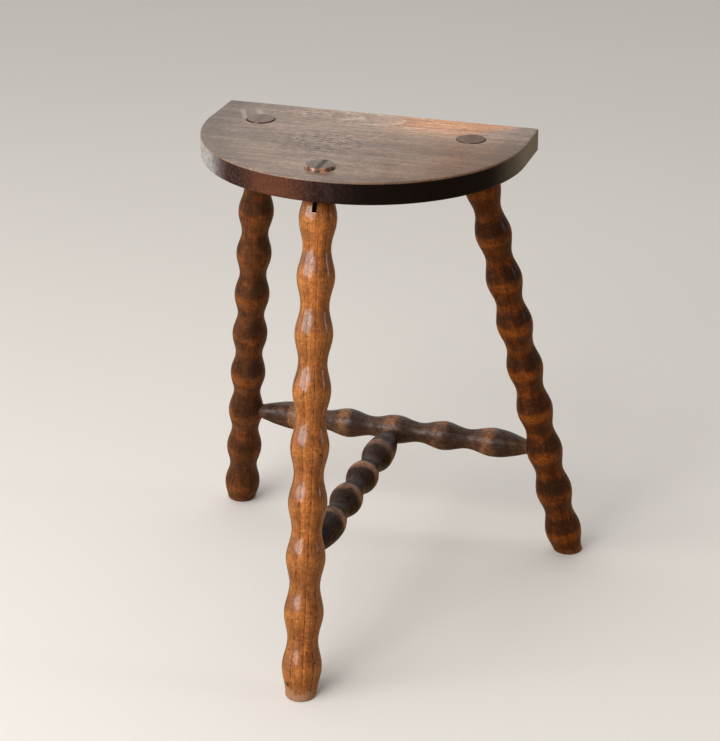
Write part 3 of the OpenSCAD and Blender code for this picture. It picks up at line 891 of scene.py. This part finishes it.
# Turned wood: fibres and growth layers in the body colour, the crests that wear has rubbed bare,
# stain on the slopes and in the coves and in patches, lines, pores and flecks, then the ends
def turnedWood(name, look):
    shape, seed = turnedShape, look["seed"]
    material, tree, shader = startMaterial(name, **{
        "Coat Roughness": look["coatRough"], "IOR": shape["ior"], "Specular IOR Level": look["haze"]})
    cylinder, bead, end = (attributePlace(tree, key) for key in ("cylinderPlace", "beadPlace", "endPlace"))
    solid = objectPlace(tree)
    turned = mapPlace(cylinder, turn=(0, 0, look["turn"]), move=(look["layerShift"], 0, 0))
    grain = useGroup(grainGroup, Place=turned, LayerWidth=look["layerWidth"], Waver=look["waver"],
                     Seed=seed)
    crestAt = math.radians(look["crestAt"])
    stain = useGroup(stainGroup, Bead=bead, Place=solid, Ragged=look["ragged"], Seed=seed,
                     CrestCos=math.cos(crestAt), CrestSin=math.sin(crestAt))
    wear = useGroup(wearGroup, Place=solid, Seed=seed)
    ends = useGroup(endGroup, Place=solid, Seed=seed)
    cuts = noise(cylinder, seed, **shape["cuts"])
    tone = plus(times(grain["Fibre"], shape["fibreShare"]), times(grain["Layer"], shape["layerShare"]))
    color = mixColor(fade(tone, *shape["toneSpan"]), look["pale"], look["deep"])
    color = vary(color, stain["Patch"], shape["patchSpan"], look["swing"])
    if "paintedLitSide" in look:  # painted light: one narrow side of the leg is painted paler, as if more light fell on it
        side = plus(facingSide(cylinder, look["paintedLitSide"]), sway(wear["Mottle"], shape["paintedLitRag"]))
        color = shadeBy(color, fade(side, *shape["paintedLitSpan"], 1.0, look["paintedLitGain"]))
    worn = fade(wear["Smudge"], *shape["wornSpan"], look["wornFrom"] * look["crest"], look["crest"])
    color = layOn(color, stain["Crest"], worn, look["ring"])
    shade = times(stain["Cove"], look["cove"])
    for part in ("upper", "lower"):
        shade = larger(shade, times(stain[part.title()], look[part]))
    shade = larger(shade, fade(stain["Patch"], *shape["patchStain"], 0.0, look["patches"]))
    color = layOn(color, shade, fade(wear["Mottle"], *shape["stainMottle"]), look["stain"])
    for mask, share in ((grain["Line"], look["lineShare"]), (grain["Pores"], look["pores"]),
                        (wear["Speck"], shape["speckShare"])):
        color = layOn(color, mask, share, look["line"])
    color = layOn(color, wear["Scratch"], shape["scratchShare"], look["ring"])
    color = vary(color, noise(cylinder, seed, **shape["fleck"]), shape["fleckSpan"], look["grit"])
    color = vary(color, cuts, shape["cutSpan"], look["rings"])
    if look["spots"]:
        spots = spotsOn(cylinder, look["spots"], sway(wear["Mottle"], shape["spotRag"]))
        color = layOn(color, spots, look["spotShare"], look["spotColor"])
    isEnd, toEnd, inside = splitPlace(end)
    scuff = plus(toEnd, sway(wear["Mottle"], shape["scuffRag"]))
    color = mixColor(fade(scuff, *shape["scuffSpan"]), color, look["bare"])
    # painted light and shade on each tenon's side above the board: on the front leg a bright copper
    # painted highlight in patches with darker brown, on the two back legs a near black painted shadow of
    # the gap round the tenon
    rim = mixColor(fade(wear["Mottle"], *shape["rimSpan"]), look["rim"], look["rimDark"])
    aboveSeat = fade(splitPlace(solid)[2], *nearTop(shape["proudFrom"], shape["proudTo"]))
    color = mixColor(aboveSeat, color, rim)
    # painted shade: the inside of the kerf is painted near black
    color = mixColor(inside, color, shape["kerfPaintedShade"])
    sawn = mixColor(fade(ends["Tone"], *shape["endSpan"]), look["end"], look["endDark"])
    color = mixColor(isEnd, color, layOn(sawn, ends["Pores"], shape["endPores"], look["line"]))
    rough = fade(wear["Smudge"], *shape["roughSpan"], look["rough"] - shape["smoother"],
                 look["rough"] + shape["rougher"])
    coat = times(fade(wear["Mottle"], *shape["coatSpan"], look["coatGap"], 1.0), look["coat"],
                 fade(isEnd, *shape["endCoat"]), fade(inside, *shape["kerfCoat"]))
    dents = minus(times(wear["Mottle"], shape["mottleDent"]), grain["Pores"])
    normal = addBump(dents, shape["dentDepth"], shape["bump"])
    normal = addBump(cuts, shape["cutDepth"], shape["bump"], normal)  # the turner's fine rings
    feed(shader.inputs, {"Base Color": color, "Roughness": plus(rough, times(isEnd, shape["endRougher"])),
                         "Coat Weight": coat, "Normal": normal})
    return material


# The board's wood: spans along x and y are in metres from the frame's origin
seatLook = {
    "left": (0.225, 0.157, 0.120), "middle": (0.290, 0.200, 0.152), "right": (0.210, 0.098, 0.043),
    "back": (0.47, 0.33, 0.25), "paintedSunlight": (0.60, 0.275, 0.125), "line": (0.065, 0.032, 0.020),
    "arc": (0.72, 0.55, 0.42), "arris": (0.24, 0.14, 0.10),
    # Broad tones, by place in metres: from the left colour to the middle one and on to the right one
    "toMiddle": (-0.16, -0.05), "toRight": (-0.02, 0.12), "driftReach": 0.12,
    "bleachY": (0.015, 0.105), "bleachX": (-0.13, -0.03), "bleachShare": 0.85,
    "rimBand": (0.112, 0.142, 1.0, 0.76), "rightCorner": (0.112, 0.135, 1.0, 0.82),
    # A painted pool of sunlight at the back right
    "paintedSunlightX": (-0.01, 0.05), "paintedSunlightY": (0.044, 0.088), "paintedSunlightSlant": (0.103, 0.131, 1.0, 0.0),
    "paintedSunlightBack": 0.095, "slant": 0.9, "frayReach": 0.05,
    # Arches in the grain: the apex from the frame's origin, their spacing and bend
    "figureX": 0.0263, "figureY": 0.0863, "figureStep": 0.038, "figureBend": 93.0, "figureWarp": 0.05,
    "arcRise": (0.84, 0.965), "arcFall": (0.975, 1.0, 1.0, 0.0), "arcFill": (0.45, 0.97, 0.0, 0.35),
    "archAside": (0.012, 0.03, 1.0, 0.0), "archAlong": (0.03, 0.06, 1.0, 0.0), "arcShare": 0.9,
    # Fine grain, from long streaks down to grit
    "streak": {"stretch": (300, 300, 12), "detail": 4, "rough": 0.7, "seed": 5.0},
    "toneSpan": (0.36, 0.64, 1.36, 0.68),
    "broad": {"stretch": (52, 52, 9), "detail": 2, "seed": 8.0}, "broadSpan": (0.36, 0.64, 1.14, 0.86),
    "short": {"stretch": (600, 600, 250), "detail": 3, "rough": 0.75, "seed": 8.5},
    "shortSpan": (0.32, 0.68, 1.22, 0.80),
    "mottleSpan": (0.3, 0.7, 1.14, 0.86), "gritSpan": (0.3, 0.7, 1.24, 0.76),
    "lineShare": 0.2, "poreShare": 0.42, "speckShare": 0.35, "hairShare": 0.12,
    # Pits: each area's middle, reach and span; the second shows at a share
    "pits": {"stretch": (150, 430, 430), "turn": (0.0, 0.0, 0.5), "detail": 2, "seed": 9.0},
    "pitSpan": (0.54, 0.585),
    "pitArea": (-0.028, 0.010, 0.058, 0.038, 0.3, 1.2), "rowArea": (-0.055, 0.085, 0.055, 0.025, 0.2, 1.2),
    "rowShare": 0.8, "pitShare": 0.92, "pitRag": 0.8,
    # Scratches: both ends and the width of each
    "scratches": ((0.0327, 0.0492, 0.0431, 0.0587, 0.0010), (-0.1333, 0.0834, -0.1165, 0.050, 0.0035),
                  (-0.1200, 0.0900, -0.0900, 0.0380, 0.0040), (-0.1200, 0.0165, -0.1130, 0.0187, 0.0012),
                  (0.0020, 0.0350, 0.0560, 0.0480, 0.0009), (0.0300, 0.0760, 0.0050, 0.0150, 0.0009)),
    "scratchShare": 0.34, "scratchBend": 0.012, "scratchCore": 0.3, "scratchIn": 0.2, "scratchOut": 0.75,
    "rough": (0.3, 0.7, 0.32, 0.48), "coat": 0.6, "coatRough": 0.3, "ior": 1.5, "haze": 0.05,
    "layerWidth": 0.012, "waver": 0.03, "grainSeed": 7.0, "wearSeed": 4.0,
    "streakShare": 0.5, "fibreShare": 0.5,
    "poreDent": 0.5, "toneDent": 0.5, "dentDepth": 0.00025, "bump": 0.45,
}
edgeLook = {
    # The plain stain, a warm copper that is painted light at the front left, a near black for the stain's
    # flecks and for painted shade towards the right, and a pale grey that is painted sheen on the ends
    "plain": (0.062, 0.030, 0.029), "paintedLight": (0.135, 0.050, 0.026), "dark": (0.004, 0.002, 0.002),
    "grey": (0.62, 0.65, 0.70),
    "from": -0.0019, "to": -0.0009,                       # heights from the board's top
    "sawn": {"stretch": (420, 420, 300), "turn": (0.0, 0.4, 0.0), "detail": 4, "rough": 0.7, "seed": 6.0},
    "darkSawn": (0.38, 0.6, 0.0, 0.7), "paintedShadeX": (-0.020, 0.045, 0.0, 0.95),
    "paintedLightX": -0.041, "paintedLightReach": (0.008, 0.042, 1.0, 0.0), "paintedLightY": (-0.02, -0.07),
    "paintedLightSawn": (0.35, 0.65, 1.0, 0.55),
    "leftEnd": (-0.122, -0.088, 1.0, 0.0), "rightEnd": (0.128, 0.148),
    "dustAndSheen": (0.37, 0.86, 0.14, 1.0),                      # seen square on, and turned away
    "dustAndSheenSawn": (0.35, 0.6, 1.0, 0.62), "dustAndSheenX": (0.0, 0.1, 1.0, 0.26),
    "dustAndSheenMottle": (0.40, 0.58, 0.72, 1.0),
    "rimUp": (-0.0022, -0.0012), "rimDown": (-0.0009, -0.0003), "rimMottle": (0.35, 0.6, 0.0, 0.45),
    "coat": 0.12, "endCoat": 0.9, "sawDepth": 0.0010, "bump": 0.8,
}


# The broad tones of the top: greyer at the left, palest in the middle and browner at the right,
# bleached along the back, darkened by hands inside the rim, with a painted pool of sunlight at the back
# right
def seatTones(x, y, wear, streak):
    look = seatLook
    drift = plus(x, sway(wear["Smudge"], look["driftReach"]))
    color = mixColor(fade(drift, *look["toMiddle"]), look["left"], look["middle"])
    color = mixColor(fade(drift, *look["toRight"]), color, look["right"])
    bleached = times(fade(y, *look["bleachY"]), fade(drift, *look["bleachX"]))
    color = layOn(color, bleached, look["bleachShare"], look["back"])
    ahead = calc("MINIMUM", minus(y, board["middle"][1]), 0.0)  # from where the curve of the front starts
    fromMiddle = calc("SQRT", plus(times(x, x), times(ahead, ahead)))
    color = shadeBy(color, fade(fromMiddle, *look["rimBand"]))
    color = shadeBy(color, fade(x, *look["rightCorner"]))
    # painted light: a pool of sunlight at the back right, laid over the top's colour
    frayed = sway(streak, look["frayReach"])
    slant = minus(x, times(minus(y, look["paintedSunlightBack"]), look["slant"]))
    paintedSunlight = times(fade(plus(x, frayed), *look["paintedSunlightX"]), fade(slant, *look["paintedSunlightSlant"]),
                 fade(plus(y, frayed), *look["paintedSunlightY"]))
    return mixColor(paintedSunlight, color, look["paintedSunlight"])


# The growth layers form nested arches, whose value is the distance along X plus a bend times the
# square of the distance from the arches' middle line; they show only near that line
def archFigure(x, y, wear):
    look = seatLook
    offY = minus(y, look["figureY"])
    bow = times(offY, offY, look["figureBend"])
    figure = plus(plus(minus(x, look["figureX"]), bow), sway(wear["Smudge"], look["figureWarp"]))
    layer = calc("FRACT", over(figure, look["figureStep"]))
    arc = times(fade(layer, *look["arcRise"]), fade(layer, *look["arcFall"]))
    near = times(fade(calc("ABSOLUTE", offY), *look["archAside"]),
                 fade(calc("ABSOLUTE", x), *look["archAlong"]))
    return times(larger(arc, fade(layer, *look["arcFill"])), near)


# An oval area with a ragged rim: 1 in its middle and 0 outside, by the root of the two squared
# distances from its middle, each over its reach
def ovalArea(x, y, streak, middleX, middleY, reachX, reachY, low, high):
    dx, dy = over(minus(x, middleX), reachX), over(minus(y, middleY), reachY)
    far = calc("SQRT", plus(times(dx, dx), times(dy, dy)))
    return fade(plus(far, sway(streak, seatLook["pitRag"])), low, high, 1.0, 0.0)


# One scratch: 1 along the line between its two ends, which it leaves by slow wander
def scratchLine(place, wear, fromX, fromY, toX, toY, wide):
    look = seatLook
    way, run = math.atan2(toY - fromY, toX - fromX), math.hypot(toX - fromX, toY - fromY)
    moved = addNode("ShaderNodeVectorMath", {0: place, 1: (fromX, fromY, 0)}, operation="SUBTRACT")
    along, across, _ = splitPlace(mapPlace(moved.outputs[0], turn=(0, 0, -way)))
    off = calc("ABSOLUTE", plus(across, sway(wear["Smudge"], look["scratchBend"])))
    return times(fade(off, wide * look["scratchCore"], wide, 1.0, 0.0),
                 fade(along, 0.0, run * look["scratchIn"]),
                 fade(along, run * look["scratchOut"], run, 1.0, 0.0))


# The edge over its dark brown stain: painted light in warm copper at the front left, painted shade
# near black to the right, and on its worn ends dust with a painted grey sheen, paler where the edge turns
# away from the eye
def edgeTones(tree, x, y, wear, sawn, atEnds):
    look = edgeLook
    # painted light: warm copper laid on the front left of the edge
    fromPaintedLight = calc("ABSOLUTE", minus(x, look["paintedLightX"]))
    paintedLight = times(fade(fromPaintedLight, *look["paintedLightReach"]), fade(y, *look["paintedLightY"]))
    color = mixColor(fade(sawn, *look["darkSawn"]), look["plain"], look["dark"])
    color = layOn(color, paintedLight, fade(sawn, *look["paintedLightSawn"]), look["paintedLight"])
    # painted shade: the edge is made near black towards the right
    color = mixColor(fade(x, *look["paintedShadeX"]), color, look["dark"])
    # painted sheen: pale grey on the worn ends, stronger where the edge turns away from the eye, mixed
    # with dust
    turned = tree.nodes.new("ShaderNodeLayerWeight").outputs["Facing"]
    dustAndSheen = times(atEnds, fade(turned, *look["dustAndSheen"]), fade(sawn, *look["dustAndSheenSawn"]),
                 fade(x, *look["dustAndSheenX"]), fade(wear["Mottle"], *look["dustAndSheenMottle"]))
    return mixColor(dustAndSheen, color, look["grey"])


# The board: broad tones, arches, streaks, pits and scratches on its top, and its stained edge
def seatWood(name):
    look, edge = seatLook, edgeLook
    material, tree, shader = startMaterial(name, **{
        "Coat Roughness": look["coatRough"], "IOR": look["ior"], "Specular IOR Level": look["haze"]})
    place = objectPlace(tree)
    x, y, z = splitPlace(place)
    wear = useGroup(wearGroup, Place=place, Seed=look["wearSeed"])
    lengthways = addNode("ShaderNodeCombineXYZ", {0: y, 1: z, 2: x}).outputs[0]
    grain = useGroup(grainGroup, Place=lengthways, LayerWidth=look["layerWidth"], Waver=look["waver"],
                     Seed=look["grainSeed"])
    streak = noise(lengthways, **look["streak"])
    color = seatTones(x, y, wear, streak)
    color = layOn(color, archFigure(x, y, wear), look["arcShare"], look["arc"])
    tone = plus(times(streak, look["streakShare"]), times(grain["Fibre"], look["fibreShare"]))
    for value, span in ((tone, "toneSpan"), (noise(lengthways, **look["broad"]), "broadSpan"),
                        (noise(lengthways, **look["short"]), "shortSpan"),
                        (wear["Mottle"], "mottleSpan"), (wear["Grit"], "gritSpan")):
        color = shadeBy(color, fade(value, *look[span]))
    color = layOn(color, grain["Line"], look["lineShare"], look["line"])
    color = layOn(color, grain["Pores"], look["poreShare"], look["line"])
    rowArea = times(ovalArea(x, y, streak, *look["rowArea"]), look["rowShare"])
    pits = times(fade(noise(place, **look["pits"]), *look["pitSpan"]),
                 larger(ovalArea(x, y, streak, *look["pitArea"]), rowArea))
    color = layOn(color, pits, look["pitShare"], look["line"])
    for scratch in look["scratches"]:
        color = layOn(color, scratchLine(place, wear, *scratch), look["scratchShare"], look["arc"])
    color = layOn(color, wear["Speck"], look["speckShare"], look["line"])
    color = layOn(color, wear["Scratch"], look["hairShare"], look["arc"])
    onEdge = fade(z, *nearTop(edge["from"], edge["to"]), 1.0, 0.0)
    sawn = noise(place, **edge["sawn"])
    atEnds = larger(fade(x, *edge["leftEnd"]), fade(x, *edge["rightEnd"]))
    color = mixColor(onEdge, color, edgeTones(tree, x, y, wear, sawn, atEnds))
    rim = times(fade(z, *nearTop(*edge["rimUp"])), fade(z, *nearTop(*edge["rimDown"]), 1.0, 0.0))
    color = layOn(color, rim, fade(wear["Mottle"], *edge["rimMottle"]), look["arris"])
    hollows = plus(pits, times(grain["Pores"], look["poreDent"]))
    normal = addBump(minus(times(tone, look["toneDent"]), hollows), look["dentDepth"], look["bump"])
    normal = addBump(times(sawn, onEdge), edge["sawDepth"], edge["bump"], normal)
    coat = fade(onEdge, 0.0, 1.0, look["coat"], fade(atEnds, 0.0, 1.0, edge["coat"], edge["endCoat"]))
    feed(shader.inputs, {"Base Color": color, "Roughness": fade(wear["Smudge"], *look["rough"]),
                         "Coat Weight": coat, "Normal": normal})
    return material


wedgeLook = {
    "front": ((0.135, 0.105, 0.088), (0.045, 0.034, 0.029)),      # pale and deep
    "left": ((0.27, 0.200, 0.165), (0.18, 0.130, 0.105)),
    "right": ((0.21, 0.143, 0.105), (0.105, 0.068, 0.050)),
    "line": (0.012, 0.010, 0.009), "side": (0.30, 0.13, 0.065), "sideShare": 0.8,
    "toneSpan": (0.3, 0.7), "middle": (-0.02, 0.02), "poreShare": 0.5, "speckShare": 0.5,
    "sideFrom": (0.0015, 0.0018), "sideTo": (-0.0006, -0.0003),   # from the seat, and from the tenon's end
    "rough": (0.3, 0.7, 0.5, 0.7), "toneDepth": 0.0002, "bump": 0.5, "haze": 0.2,
    "endSeed": 3.0, "wearSeed": 3.5,
}


# The wedges show only their sawn ends, with fine rings and open pores: near black in the front
# tenon, and about as brown as the wood round them in the two at the back
def wedgeWood(name):
    look = wedgeLook
    material, tree, shader = startMaterial(name, **{"Specular IOR Level": look["haze"]})
    place = objectPlace(tree)
    x, y, z = splitPlace(place)
    ends = useGroup(endGroup, Place=place, Seed=look["endSeed"])
    wear = useGroup(wearGroup, Place=place, Seed=look["wearSeed"])
    tone = fade(ends["Tone"], *look["toneSpan"])
    front, left, right = (mixColor(tone, *look[key]) for key in ("front", "left", "right"))
    back = mixColor(fade(x, *look["middle"]), left, right)
    color = mixColor(fade(y, *look["middle"]), front, back)
    color = layOn(color, ends["Pores"], look["poreShare"], look["line"])
    color = layOn(color, wear["Speck"], look["speckShare"], look["line"])
    # painted highlight: where the front wedge stands above the board, its side takes a warm colour that
    # matches the painted highlight on the front tenon's side
    low, high = nearTop(*look["sideFrom"])
    top, end = nearTop(frontLeg["proud"] + look["sideTo"][0], frontLeg["proud"] + look["sideTo"][1])
    side = times(fade(z, low, high), fade(z, top, end, 1.0, 0.0))
    color = layOn(color, side, look["sideShare"], look["side"])
    feed(shader.inputs, {"Base Color": color, "Roughness": fade(wear["Mottle"], *look["rough"]),
                         "Normal": addBump(ends["Tone"], look["toneDepth"], look["bump"])})
    return material


woods = {
    "seat_board": ("seat_wood", seatWood("grey-brown seat board")),
    "front_leg": ("front_leg_wood", turnedWood("honey front leg", frontLook)),
    "left_leg": ("left_leg_wood", turnedWood("dark left leg", leftLook)),
    "right_leg": ("right_leg_wood", turnedWood("banded right leg", rightLook)),
    "long_stretcher": ("stretcher_wood", turnedWood("dark long stretcher", longLook)),
    "short_stretcher": ("stretcher_wood", turnedWood("dark short stretcher", shortLook)),
}


# The material takes the place of those that the mesh has
def putOn(piece, material):
    piece.data.materials.clear()
    piece.data.materials.append(material)


for node, (slotName, material) in woods.items():
    piece = pieces[node]
    putOn(piece, material)
    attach(piece, "root")
    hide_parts(node)
wedgeMaterial = wedgeWood("grey wedge ends")
for node in ("front_wedge", "left_wedge", "right_wedge"):
    putOn(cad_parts[node], wedgeMaterial)
print("the finishes are on")


# The floor, the light and the camera
studio = {
    "floorSize": 14.0, "floorCells": 28, "floorRough": 0.75, "floorShine": 0.25,
    "cloud": {"scale": 2.2, "detail": 4, "rough": 0.6, "seed": 1.0},
    "floorPale": (0.52, 0.37, 0.21), "floorDeep": (0.48, 0.33, 0.18),
    "shownPale": (0.86, 0.82, 0.775), "shownDeep": (0.83, 0.79, 0.745),  # as the camera sees it
    "worldColor": (1.0, 0.985, 0.96), "behindColor": (0.90, 0.89, 0.875),
    "wallLight": 0.72, "roomLight": 0.11,     # light from behind the stool, and from the camera's side
    "wallWay": (-0.75, 0.63, 0.20), "wallSpan": (-0.5, 0.6),
}
# Each lamp: place, point it faces, width and height in metres, power in watts, colour
lamps = {
    "window_left": ((-1.46, -1.83, 1.30), (0, 0, 0.25), 2.7, 1.2, 49, (1.0, 0.985, 0.96)),
    "window_right": ((2.1, 0.35, 1.0), (0, 0, 0.3), 0.24, 1.3, 4.0, (1.0, 0.97, 0.95)),
    "soft_front": ((-0.42, -2.0, 2.0), (0, 0, 0.2), 1.5, 1.1, 21, (1.0, 0.99, 0.98)),
    "soft_top": ((-0.5, -0.1, 2.4), (0, 0, 0), 1.6, 1.6, 3, (1.0, 1.0, 1.0)),
}
view = {
    "place": (0.55728, -1.73433, 1.05694),
    "pitch": 24.040, "azimuth": 17.534,       # degrees down from level, and round from straight ahead
    "focal": 2145.8, "imageWidth": 720.0,     # pixels
    "sensor": 36.0, "near": 0.05, "far": 60,
}


# A square grid of flat cells, tinted by slow clouds
def makeFloor():
    cells, half = studio["floorCells"], studio["floorSize"] / 2
    side = np.linspace(-half, half, cells + 1)
    x, y = np.meshgrid(side, side)
    points = np.stack([x, y, np.zeros_like(x)], -1).reshape(-1, 3)
    row, column = np.meshgrid(np.arange(cells), np.arange(cells), indexing="ij")
    first = (row * (cells + 1) + column).ravel()
    faces = np.stack([first, first + 1, first + cells + 2, first + cells + 1], -1)
    mesh = bpy.data.meshes.new("studio_floor")
    mesh.from_pydata(points.tolist(), [], faces.tolist())
    material, tree, shader = startMaterial("pale studio floor", **{
        "Roughness": studio["floorRough"], "Specular IOR Level": studio["floorShine"]})
    cloud = noise(objectPlace(tree), **studio["cloud"])
    lighting = mixColor(cloud, studio["floorPale"], studio["floorDeep"])
    shown = mixColor(cloud, studio["shownPale"], studio["shownDeep"])
    seen = tree.nodes.new("ShaderNodeLightPath").outputs["Is Camera Ray"]
    feed(shader.inputs, {"Base Color": mixColor(seen, lighting, shown)})
    mesh.materials.append(material)
    made = addObject("studio_floor", mesh)


# The world lights the scene softly, most from behind the stool, and shows as a plain pale background
def makeWorld():
    world = bpy.data.worlds.new("soft studio")
    bpy.context.scene.world = world
    world.use_nodes = True
    tree = world.node_tree
    tree.nodes.clear()
    rays = tree.nodes.new("ShaderNodeLightPath").outputs
    way = tree.nodes.new("ShaderNodeTexCoord").outputs["Generated"]
    facing = addNode("ShaderNodeVectorMath", {0: way, 1: studio["wallWay"]}, operation="DOT_PRODUCT")
    strength = fade(facing.outputs["Value"], *studio["wallSpan"], studio["roomLight"], studio["wallLight"])
    light = addNode("ShaderNodeBackground", {"Color": studio["worldColor"], "Strength": strength})
    shown = tree.nodes.new("ShaderNodeBackground")
    feed(shown.inputs, {"Color": studio["behindColor"]})
    seen = larger(rays["Is Camera Ray"], rays["Is Transmission Ray"])
    mixed = addNode("ShaderNodeMixShader", {0: seen, 1: light.outputs[0], 2: shown.outputs[0]})
    feed(tree.nodes.new("ShaderNodeOutputWorld").inputs, {0: mixed.outputs[0]})


# Turns a lamp so that its -Z looks from its place to a point and its Y stays upright
def makeLamps():
    for name, (place, target, width, height, power, color) in lamps.items():
        data = bpy.data.lights.new(name, "AREA")
        data.shape, data.size, data.size_y = "RECTANGLE", width, height
        data.energy, data.color = power, color
        made = addObject(name, data)
        back = np.array(place, float) - np.array(target, float)
        back /= np.linalg.norm(back)
        made.location = place
        made.rotation_euler = (math.acos(back[2]), 0.0, math.atan2(back[0], -back[1]))


# The focal length in pixels becomes millimetres on the sensor's width
def makeCamera():
    data = bpy.data.cameras.new("photo_view")
    data.sensor_fit = "HORIZONTAL"
    data.sensor_width = view["sensor"]
    data.lens = view["focal"] / view["imageWidth"] * view["sensor"]
    data.clip_start, data.clip_end = view["near"], view["far"]
    made = addObject("photo_view", data)
    made.location = view["place"]
    made.rotation_euler = (math.radians(90 - view["pitch"]), 0.0, math.radians(view["azimuth"]))
    bpy.context.scene.camera = made


makeFloor()
makeWorld()
makeLamps()
makeCamera()
bpy.context.scene.view_settings.view_transform = "Standard"
print("the studio is set")
